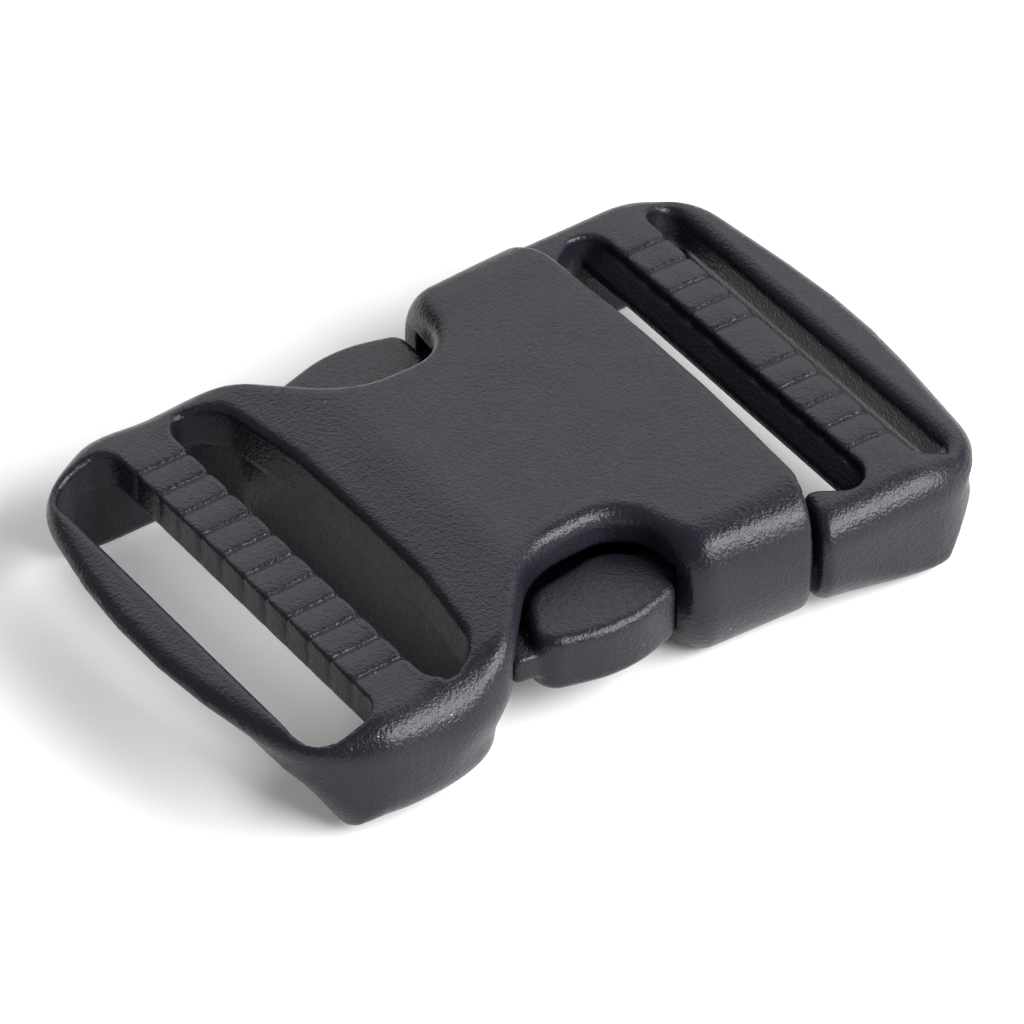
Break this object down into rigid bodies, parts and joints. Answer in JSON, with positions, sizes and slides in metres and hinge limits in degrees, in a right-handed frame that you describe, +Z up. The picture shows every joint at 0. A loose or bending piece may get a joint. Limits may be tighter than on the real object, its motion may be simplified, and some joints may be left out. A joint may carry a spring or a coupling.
{
  "type": "side-release strap buckle",
  "caption": "Black acetal side-release buckle for 38 mm webbing, latched, with a ribbed strap adjuster at each end and spring arms whose heads show in side windows.",
  "frame": {"origin": "centre of the footprint, on the lowest face, which is the underside of the socket's middle", "axes": "+X from the socket's end bar to the plug's, the way the plug pulls out; +Y to the left arm; +Z up, to the ribbed side"},
  "size_m": [0.0731, 0.046, 0.0132],
  "materials": {
    "socket_acetal": "moulded black acetal with a fine spark-eroded grain",
    "plug_acetal": "moulded black acetal with a fine spark-eroded grain"
  },
  "bodies": {
    "socket": {"socket_body": "socket_acetal"},
    "plug": {"plug_frame": "plug_acetal"},
    "left_arm": {"left_arm": "plug_acetal"},
    "right_arm": {"right_arm": "plug_acetal"}
  },
  "joints": [
    {"name": "release_slide", "type": "slide", "parent": "socket", "child": "plug", "axis": [1, 0, 0], "range_m": [0, 0.034], "deforming": ["left_arm", "right_arm"]},
    {"name": "left_arm_flex", "type": "hinge", "parent": "plug", "child": "left_arm", "pos_m": [0.0122, 0.0159, 0.0066], "axis": [0, 0, 1], "range_deg": [0, 13], "stiffness_Nm_per_rad": 1.5},
    {"name": "right_arm_flex", "type": "hinge", "parent": "plug", "child": "right_arm", "pos_m": [0.0122, -0.0159, 0.0066], "axis": [0, 0, -1], "range_deg": [0, 13], "stiffness_Nm_per_rad": 1.5}
  ]
}
